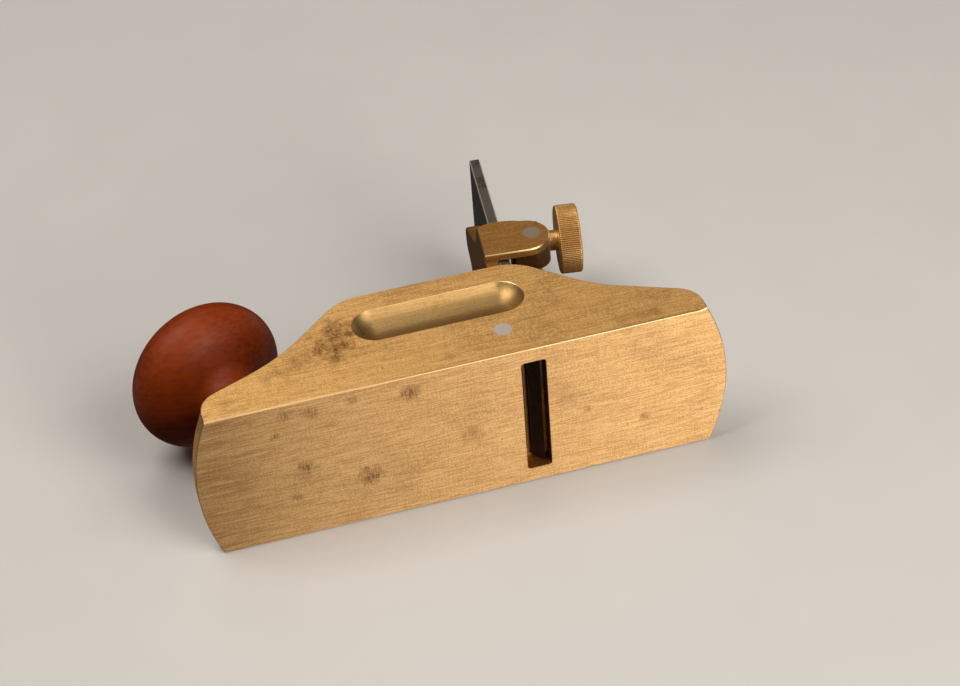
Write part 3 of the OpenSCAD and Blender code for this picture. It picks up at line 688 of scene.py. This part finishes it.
def round_edges(mesh, width, choose=None, segments=2, material=None):
    """Bevels the sharp edges, or only those of them that choose accepts."""
    edges = [e for e in mesh.edges if e.is_manifold and e.calc_face_angle() > SHARP_ANGLE]
    if choose:
        edges = [e for e in edges if choose(e)]
    made = bmesh.ops.bevel(
        mesh, geom=edges, offset=width, segments=segments, profile=0.5, affect="EDGES", clamp_overlap=False
    )
    if material is not None:
        for face in made["faces"]:
            face.material_index = material


def add_brushing(mesh, brushed):
    """A UV map whose first axis runs across the brushing. On end faces the lines run up the face."""
    layer = mesh.loops.layers.uv.new("Across the brushing")
    upright = ACROSS.cross(brushed)
    across = ACROSS + upright
    for face in mesh.faces:
        lines = upright if abs(face.normal.dot(brushed)) > END_NORMAL else brushed
        for corner in face.loops:
            point = corner.vert.co
            corner[layer].uv = (point.dot(across) * UV_SCALE, point.dot(lines) * UV_SCALE)


def add_piece(name, mesh, body, nodes, materials, smooth=28, brushed=FORWARD):
    """Turns an edited mesh into a piece that rides on a body and stands for its nodes."""
    data = bpy.data.meshes.new(name)
    bmesh.ops.recalc_face_normals(mesh, faces=mesh.faces)
    add_brushing(mesh, brushed)
    mesh.to_mesh(data)
    mesh.free()
    for material in materials:
        data.materials.append(bpy.data.materials[material])
    data.polygons.foreach_set("use_smooth", [True] * len(data.polygons))
    data.set_sharp_from_angle(angle=math.radians(smooth))
    piece = bpy.data.objects.new(name, data)
    bpy.context.scene.collection.objects.link(piece)
    weighted = piece.modifiers.new("Flat faces stay flat", "WEIGHTED_NORMAL")
    weighted.keep_sharp = True
    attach(piece, body)
    if nodes:
        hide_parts(*nodes)


def lathe(profile, steps, knurl=0.0):
    """Turns a closed profile of (radius, height, knurled) about Z and cuts the knurl between its ridges."""
    mesh = bmesh.new()
    rings = []
    for radius, height, knurled in profile:
        ring = []
        for step in range(steps):
            angle = 2 * math.pi * step / steps
            valley = knurled and step % RIDGE_STEPS in (0, RIDGE_STEPS - 1)
            r = radius - knurl if valley else radius
            ring.append(mesh.verts.new((r * math.cos(angle), r * math.sin(angle), height)))
        rings.append(ring)
    knurls = [point[2] for point in profile]
    for place, (low, high) in enumerate(zip(rings, rings[1:] + rings[:1])):
        ridged = knurls[place] and knurls[(place + 1) % len(knurls)]
        for step in range(steps):
            after = (step + 1) % steps
            face = mesh.faces.new((low[step], low[after], high[after], high[step]))
            # The last step of each ridge, its valley, takes the second finish: grime and painted shade
            face.material_index = int(ridged and step % RIDGE_STEPS == RIDGE_STEPS - 1)
    return mesh


def knurled_disc(radius, bore, thickness, teeth, depth, rim, dish_radius=0.0, dish_depth=0.0):
    """A disc with a straight knurl round its rim, a bore, and a dish in its upper face."""
    top = thickness / 2
    profile = [
        (bore + BORE_CHAMFER, -top, False),
        (radius - rim, -top, False),
        (radius - 0.4 * rim, -top + 0.25 * rim, False),
        (radius, -top + rim, True),
        (radius, top - rim, True),
        (radius - 0.4 * rim, top - 0.25 * rim, False),
        (radius - rim, top, False),
    ]
    face = top - dish_depth
    if dish_depth:
        profile += [(dish_radius + DISH_SLOPE, top, False), (dish_radius, face, False)]
    profile += [
        (bore + BORE_CHAMFER, face, False),
        (bore, face - BORE_CHAMFER, False),
        (bore, -top + BORE_CHAMFER, False),
    ]
    return lathe(profile, RIDGE_STEPS * teeth, depth)


class SCRAPERPLANE_OT_finishes(bpy.types.Operator):
    """Make the bronze, brass, steel and cherry finishes"""

    bl_idname = "scraper_plane.finishes"
    bl_label = "Finishes"

    def execute(self, context):
        make_materials(context.scene)
        return {"FINISHED"}


class SCRAPERPLANE_OT_body(bpy.types.Operator):
    """Chamfer the bronze body and give it its brushed finish"""

    bl_idname = "scraper_plane.body"
    bl_label = "Body"

    def execute(self, context):
        settings = context.scene.plane_body
        finishes = ["Body bronze", "Worn bronze edge", "Sole bronze", "Recess bronze", "Mouth bronze"]
        cheek, worn, sole, recess, mouth = range(len(finishes))
        mesh = solid_copy("body")
        # The floor's large faces are split first, because the rounding would leave them filled wrongly
        floor = [f for f in mesh.faces if f.normal.z > FLOOR_NORMAL and len(f.verts) > FLOOR_CORNERS]
        bmesh.ops.triangulate(mesh, faces=floor)
        bottom = CAD_BOX[0].z + NEAR
        side = max(abs(v.co.y) for v in mesh.verts) - NEAR

        def between_sole_and_cheek(edge):
            return all(v.co.z < bottom and abs(v.co.y) > side for v in edge.verts)

        round_edges(mesh, settings.sole_chamfer, between_sole_and_cheek, segments=1, material=worn)
        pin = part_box("frog_pivot_pin")

        def still_sharp(edge):
            chamfered = any(f.material_index for f in edge.link_faces)
            return edge.is_convex and not chamfered and not round_a_pin(edge, pin)

        round_edges(mesh, settings.edge, still_sharp, segments=2, material=worn)
        for face in mesh.faces:
            middle = face.calc_center_median()
            if face.material_index != cheek:
                continue
            if middle.z < bottom:
                face.material_index = sole
            # Faces inside the mouth get the dark painted shade
            elif in_mouth(settings, middle):
                face.material_index = mouth
            elif in_recess(settings, middle, side):
                face.material_index = recess
        add_piece("bronze_body", mesh, "stock", ["body"], finishes)
        return {"FINISHED"}


def round_a_pin(edge, box):
    """Whether an edge runs round the hole of a pin whose box is given, so that it stays sharp and flush."""
    low, high = box
    middle = (low + high) / 2
    reach = (high.x - low.x) / 2 + PIN_ROOM
    return all(math.hypot(v.co.x - middle.x, v.co.z - middle.z) < reach for v in edge.verts)


def in_mouth(settings, point):
    """Whether a point lies on the walls of the mouth, above the sole."""
    in_width = abs(point.x - settings.mouth_x) < settings.mouth_reach
    return in_width and point.z < MOUTH_TOP and abs(point.y) < MOUTH_SIDE


def in_recess(settings, point, side):
    """Whether a point lies on the round-nosed cut of a finger recess."""
    half = settings.recess_travel / 2
    along_cut = min(max(point.x, settings.recess_x - half), settings.recess_x + half)
    axis = Vector((along_cut, side + settings.cutter_radius - settings.recess_depth, settings.recess_z))
    gap = (Vector((point.x, abs(point.y), point.z)) - axis).length
    return abs(gap - settings.cutter_radius) < RECESS_TOLERANCE


def corner_arc(before, corner, after, radius, steps):
    """Points of an arc that rounds a corner between two other points of a profile."""
    to_before = (before - corner).normalized()
    to_after = (after - corner).normalized()
    half = to_before.angle(to_after) / 2
    middle = corner + (to_before + to_after).normalized() * radius / math.sin(half)
    start = corner + to_before * radius / math.tan(half) - middle
    end = corner + to_after * radius / math.tan(half) - middle
    turn = end.angle_signed(start)
    return [middle + Matrix.Rotation(turn * step / steps, 2) @ start for step in range(steps + 1)]


class SCRAPERPLANE_OT_knob(bpy.types.Operator):
    """Turn the palm knob smooth and give it its oiled cherry"""

    bl_idname = "scraper_plane.knob"
    bl_label = "Palm knob"

    def execute(self, context):
        knob = context.scene.plane_knob
        low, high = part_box("knob")
        radius = (high.y - low.y) / 2
        rise = math.hypot(radius * math.sin(knob.tilt), knob.half_height * math.cos(knob.tilt))
        centre = Vector(((low.x + high.x) / 2, 0, high.z - rise))
        mesh = lathe([(p.x, p.y, False) for p in knob_profile(knob, radius)], steps=160)
        axis = Vector((-math.sin(knob.tilt), 0, math.cos(knob.tilt)))
        mesh.transform(Matrix.Translation(centre) @ along(axis))
        add_piece("palm_knob", mesh, "stock", ["knob"], ["Oiled cherry"], smooth=50)
        finish_nodes(["knob_stud"], "Pin steel")
        return {"FINISHED"}


def knob_profile(knob, radius):
    """Outline of the knob as (radius, height) from its ball's middle, with the stud's hole up to there."""
    foot = Vector((knob.foot, -knob.foot_drop))
    ball = [
        Vector((radius * math.cos(math.radians(a)), knob.half_height * math.sin(math.radians(a))))
        for a in range(-round(math.degrees(knob.neck_angle)), 90, 2)
    ]
    slope = knob.half_height / (radius * math.tan(knob.neck_angle))
    waist = Vector((knob.waist, ball[0].y - (ball[0].x - knob.waist) * slope))
    start = Vector((STUD_HOLE, foot.y))
    rim = corner_arc(start, foot, waist, knob.foot_rounding, steps=4)
    neck = corner_arc(foot, waist, ball[0], knob.waist_rounding, steps=12)
    crown = Vector((CROWN_OPENING, knob.half_height))
    inside = [Vector((CROWN_OPENING, 0)), Vector((STUD_HOLE, 0))]
    return [start] + rim + neck + ball + [crown] + inside


def finish_nodes(nodes, material):
    """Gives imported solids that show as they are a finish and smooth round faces."""
    for node in nodes:
        data = FRAME["nodes"][node].data
        data.materials.clear()
        data.materials.append(bpy.data.materials[material])
        data.polygons.foreach_set("use_smooth", [True] * len(data.polygons))
        data.set_sharp_from_angle(angle=NODE_SHARP_ANGLE)


class SCRAPERPLANE_OT_frog(bpy.types.Operator):
    """Chamfer the edges of the frog and the clamp cap"""

    bl_idname = "scraper_plane.frog"
    bl_label = "Frog and clamp cap"

    def execute(self, context):
        edge = context.scene.plane_frog.edge
        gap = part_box("clamp_cap")[1].y
        pins = [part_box("clamp_pin"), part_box("frog_pivot_pin"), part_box("rod_pin")]
        for name, node, body, finish, slot in (
            ("frog_plate", "frog", "frog", "Frog bronze", "frog_bronze"),
            ("cap_lever", "clamp_cap", "cap", "Cap bronze", "cap_bronze"),
        ):
            finishes = [finish, "Worn bronze edge", "Shaded bronze"]
            bare, worn, painted_shade = range(len(finishes))
            mesh = solid_copy(node)
            round_edges(mesh, edge, lambda e: not any(round_a_pin(e, pin) for pin in pins), 1, worn)
            # The frog's rear faces and the chamfers beside the cap's gap get the painted shade finish
            for face in mesh.faces:
                beside_gap = abs(abs(face.calc_center_median().y) - gap) < BESIDE_GAP
                rear = node == "frog" and face.material_index == bare and face.normal.x < REAR_NORMAL
                if rear or (face.material_index == worn and beside_gap):
                    face.material_index = painted_shade
            add_piece(name, mesh, body, [node], finishes, brushed=ACROSS.cross(FROG_UP))
        return {"FINISHED"}


class SCRAPERPLANE_OT_pins(bpy.types.Operator):
    """Give the flush pins their ground steel"""

    bl_idname = "scraper_plane.pins"
    bl_label = "Pins"

    def execute(self, context):
        finish_nodes(["frog_pivot_pin", "rod_pin"], "Pin steel")
        finish_nodes(["clamp_pin"], "Clamp pin steel")
        return {"FINISHED"}


class SCRAPERPLANE_OT_blade(bpy.types.Operator):
    """Ease the blade's edges and give it its dark steel"""

    bl_idname = "scraper_plane.blade"
    bl_label = "Blade"

    def execute(self, context):
        settings = context.scene.plane_steel
        finishes = ["Blade steel", "Worn steel edge", "Blade side steel"]
        bare, worn, side = range(len(finishes))
        mesh = solid_copy("blade")
        low = min(v.co.z for v in mesh.verts) + SHARP_BLADE_END

        def above_the_mouth(edge):
            return not all(v.co.z < low for v in edge.verts)

        round_edges(mesh, settings.blade_edge, above_the_mouth, segments=1, material=worn)
        for face in mesh.faces:
            if face.material_index == bare and abs(face.normal.y) > SIDE_NORMAL:
                face.material_index = side
        add_piece("scraper_blade", mesh, "blade", ["blade"], finishes, brushed=FROG_UP)
        return {"FINISHED"}


class SCRAPERPLANE_OT_screw(bpy.types.Operator):
    """Knurl the thumb wheel and finish its screw"""

    bl_idname = "scraper_plane.screw"
    bl_label = "Thumb screw and wheel"

    def execute(self, context):
        settings = context.scene.plane_wheel
        mesh = knurled_disc(
            settings.wheel_radius,
            settings.wheel_bore,
            settings.wheel_thickness,
            settings.wheel_teeth,
            settings.knurl_depth,
            settings.wheel_rim,
            settings.dish_radius,
            settings.dish_depth,
        )
        mesh.transform(Matrix.Translation(WHEEL_CENTRE) @ along(SCREW_AXIS))
        finishes = ["Wheel brass", "Knurl dirt"]
        add_piece("knurled_wheel", mesh, "wheel", ["thumb_wheel"], finishes, 40, SCREW_AXIS)
        mesh = solid_copy("thumb_screw")
        round_edges(mesh, settings.screw_edge)
        finishes = ["Screw brass"]
        add_piece("brass_screw", mesh, "screw", ["thumb_screw"], finishes, 40, SCREW_AXIS)
        return {"FINISHED"}


class SCRAPERPLANE_OT_rod(bpy.types.Operator):
    """Cut the thread of the angle rod and knurl its two nuts"""

    bl_idname = "scraper_plane.rod"
    bl_label = "Angle rod and nuts"

    def execute(self, context):
        brass = context.scene.plane_wheel
        finishes = ["Nut brass", "Knurl dirt"]
        for nut in ("front_nut", "rear_nut"):
            low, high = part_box(nut)
            mesh = knurled_disc(
                brass.nut_radius,
                brass.nut_bore,
                high.x - low.x,
                brass.nut_teeth,
                brass.knurl_depth,
                brass.nut_rim,
            )
            centre = Vector(((low.x + high.x) / 2, 0, NUT_HEIGHT))
            mesh.transform(Matrix.Translation(centre) @ along(FORWARD))
            add_piece("knurled_" + nut, mesh, nut, [nut], finishes, smooth=40)
        add_thread(context.scene.plane_steel)
        finish_nodes(["angle_rod"], "Rod steel")
        return {"FINISHED"}


def add_thread(steel):
    """Winds the rod's thread round its core, from its rear end to just behind the eye."""
    low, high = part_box("angle_rod")
    start, end = low.x, high.x - ROD_EYE
    # Steps round the rod, rows of steps for each turn, and rows over which the thread fades at its ends
    around, rows_each_turn, run_out = 32, 8, 4
    # Steepness of its flanks, and the height at which they would meet above the flat crest at 1
    steepness, meeting = 2.6, 1.3
    depth = steel.thread_radius - steel.thread_core
    rows = int((end - start) / steel.thread_pitch * rows_each_turn)
    mesh = bmesh.new()
    rings = []
    for row in range(rows + 1):
        x = start + (end - start) * row / rows
        ends = min(1.0, row / run_out, (rows - row) / run_out)
        ring = []
        for step in range(around):
            turn = step / around
            phase = ((x - start) / steel.thread_pitch + turn) % 1.0
            crest = max(0.0, 1.0 - abs(phase - 0.5) * steepness)
            radius = steel.thread_core + depth * min(1.0, crest * meeting) * ends
            angle = 2 * math.pi * turn
            place = (x, radius * math.cos(angle), NUT_HEIGHT + radius * math.sin(angle))
            ring.append(mesh.verts.new(place))
        rings.append(ring)
    for one, two in zip(rings, rings[1:]):
        for step in range(around):
            after = (step + 1) % around
            mesh.faces.new((one[step], one[after], two[after], two[step]))
    mesh.faces.new(rings[0])
    mesh.faces.new(rings[-1])
    add_piece("rod_thread", mesh, "rod", [], ["Rod steel"], smooth=60)


class SCRAPERPLANE_OT_stage(bpy.types.Operator):
    """Set the camera, the pale table and the soft lights"""

    bl_idname = "scraper_plane.stage"
    bl_label = "Stage"

    def execute(self, context):
        settings = context.scene.plane_stage
        camera = bpy.data.objects.new("Camera", bpy.data.cameras.new("Camera"))
        context.scene.collection.objects.link(camera)
        camera.data.lens = settings.focal_length
        camera.data.sensor_width = 36.0
        camera.data.clip_start = 0.01
        axes = Matrix((CAMERA_RIGHT, CAMERA_UP, CAMERA_BACK)).transposed().to_4x4()
        camera.matrix_world = Matrix.Translation(CAMERA_PLACE) @ axes
        context.scene.camera = camera
        add_table(settings)
        for name, place, size, power in LIGHTS:
            add_light(name, Vector(place), size, getattr(settings, power))
        add_room(context.scene, settings)
        context.scene.view_settings.view_transform = "Standard"
        return {"FINISHED"}


def add_room(scene, settings):
    """The room: a pale backdrop to the camera and a dim light to everything else."""
    world = bpy.data.worlds.new("Pale room")
    scene.world = world
    world.use_nodes = True
    tree = world.node_tree
    pale = tree.nodes["Background"]
    pale.inputs["Color"].default_value = (*PALE_WHITE, 1.0)
    pale.inputs["Strength"].default_value = settings.backdrop
    dim = tree.nodes.new("ShaderNodeBackground")
    dim.inputs["Color"].default_value = (*WARM_WHITE, 1.0)
    dim.inputs["Strength"].default_value = settings.room
    path = tree.nodes.new("ShaderNodeLightPath")
    mix_shaders(tree, path.outputs["Is Camera Ray"], dim, pale, "World Output")


def add_light(name, place, size, power):
    """A square soft light at a place, aimed at the middle of the plane."""
    light = bpy.data.lights.new(name, "AREA")
    light.shape = "SQUARE"
    light.size = size
    light.energy = power
    light.color = WARM_WHITE
    lamp = bpy.data.objects.new(name, light)
    bpy.context.scene.collection.objects.link(lamp)
    lamp.location = place
    lamp.rotation_mode = "QUATERNION"
    lamp.rotation_quaternion = (LIGHT_AIM - place).to_track_quat("-Z", "Y")


def add_table(settings):
    """The pale table under the left cheek.

    The metal mirrors it as a dark one, and it is clear from behind and to the lights."""
    height = CAD_BOX[1].y + TABLE_GAP
    mesh = bmesh.new()
    corners = [(TABLE_HALF * x, TABLE_HALF * z) for x, z in ((-1, -1), (1, -1), (1, 1), (-1, 1))]
    mesh.faces.new([mesh.verts.new((x, height, z)) for x, z in corners])
    data = bpy.data.meshes.new("Table")
    mesh.to_mesh(data)
    mesh.free()
    if data.polygons[0].normal.y > 0:
        data.flip_normals()
    tree, shader, place = new_material("Pale table", 0.0, 0.6)
    shader.inputs["Specular IOR Level"].default_value = 0.1
    path = tree.nodes.new("ShaderNodeLightPath")
    grain = noise(tree, place, 40.0, 4.0)
    pale = mix_colour(tree, grain, settings.table, tuple(0.94 * c for c in settings.table))
    seen = mix_colour(tree, path.outputs["Is Camera Ray"], settings.mirrored_table, pale)
    tree.links.new(seen, shader.inputs["Base Color"])
    clear = tree.nodes.new("ShaderNodeBsdfTransparent")
    facing = tree.nodes.new("ShaderNodeNewGeometry").outputs["Backfacing"]
    beside = math_node(tree, "LESS_THAN", path.outputs["Ray Length"], TABLE_CLOSE)
    away = math_node(tree, "MAXIMUM", facing, path.outputs["Is Shadow Ray"])
    mask = math_node(tree, "MAXIMUM", away, beside)
    mix_shaders(tree, mask, shader, clear, "Material Output")
    data.materials.append(bpy.data.materials["Pale table"])
    table = bpy.data.objects.new("Table", data)
    bpy.context.scene.collection.objects.link(table)


OPERATORS = (
    SCRAPERPLANE_OT_finishes,
    SCRAPERPLANE_OT_body,
    SCRAPERPLANE_OT_knob,
    SCRAPERPLANE_OT_frog,
    SCRAPERPLANE_OT_pins,
    SCRAPERPLANE_OT_blade,
    SCRAPERPLANE_OT_screw,
    SCRAPERPLANE_OT_rod,
    SCRAPERPLANE_OT_stage,
)

SETTINGS = {
    "plane_body": BodySettings,
    "plane_knob": KnobSettings,
    "plane_frog": FrogSettings,
    "plane_steel": SteelSettings,
    "plane_wheel": WheelSettings,
    "plane_stage": StageSettings,
}


class SCRAPERPLANE_PT_panel(bpy.types.Panel):
    """Lists the plane's settings and the steps that build it"""

    bl_label = "Small scraper plane"
    bl_idname = "SCRAPERPLANE_PT_panel"
    bl_space_type = "VIEW_3D"
    bl_region_type = "UI"
    bl_category = "Scraper plane"

    def draw(self, context):
        for name, group in SETTINGS.items():
            box = self.layout.box()
            for setting in group.__annotations__:
                box.prop(getattr(context.scene, name), setting)
        for operator in OPERATORS:
            self.layout.operator(operator.bl_idname)


def register():
    """Registers the settings, the steps and the panel."""
    for group in SETTINGS.values():
        bpy.utils.register_class(group)
    for name, group in SETTINGS.items():
        setattr(bpy.types.Scene, name, bpy.props.PointerProperty(type=group))
    for operator in OPERATORS:
        bpy.utils.register_class(operator)
    bpy.utils.register_class(SCRAPERPLANE_PT_panel)


def unregister():
    """Takes them away again."""
    bpy.utils.unregister_class(SCRAPERPLANE_PT_panel)
    for operator in reversed(OPERATORS):
        bpy.utils.unregister_class(operator)
    for name, group in SETTINGS.items():
        delattr(bpy.types.Scene, name)
        bpy.utils.unregister_class(group)


def main():
    """Builds everything in order."""
    register()
    steps = bpy.ops.scraper_plane
    steps.finishes()
    steps.body()
    steps.knob()
    steps.frog()
    steps.pins()
    steps.blade()
    steps.screw()
    steps.rod()
    steps.stage()


if __name__ == "__main__":
    main()
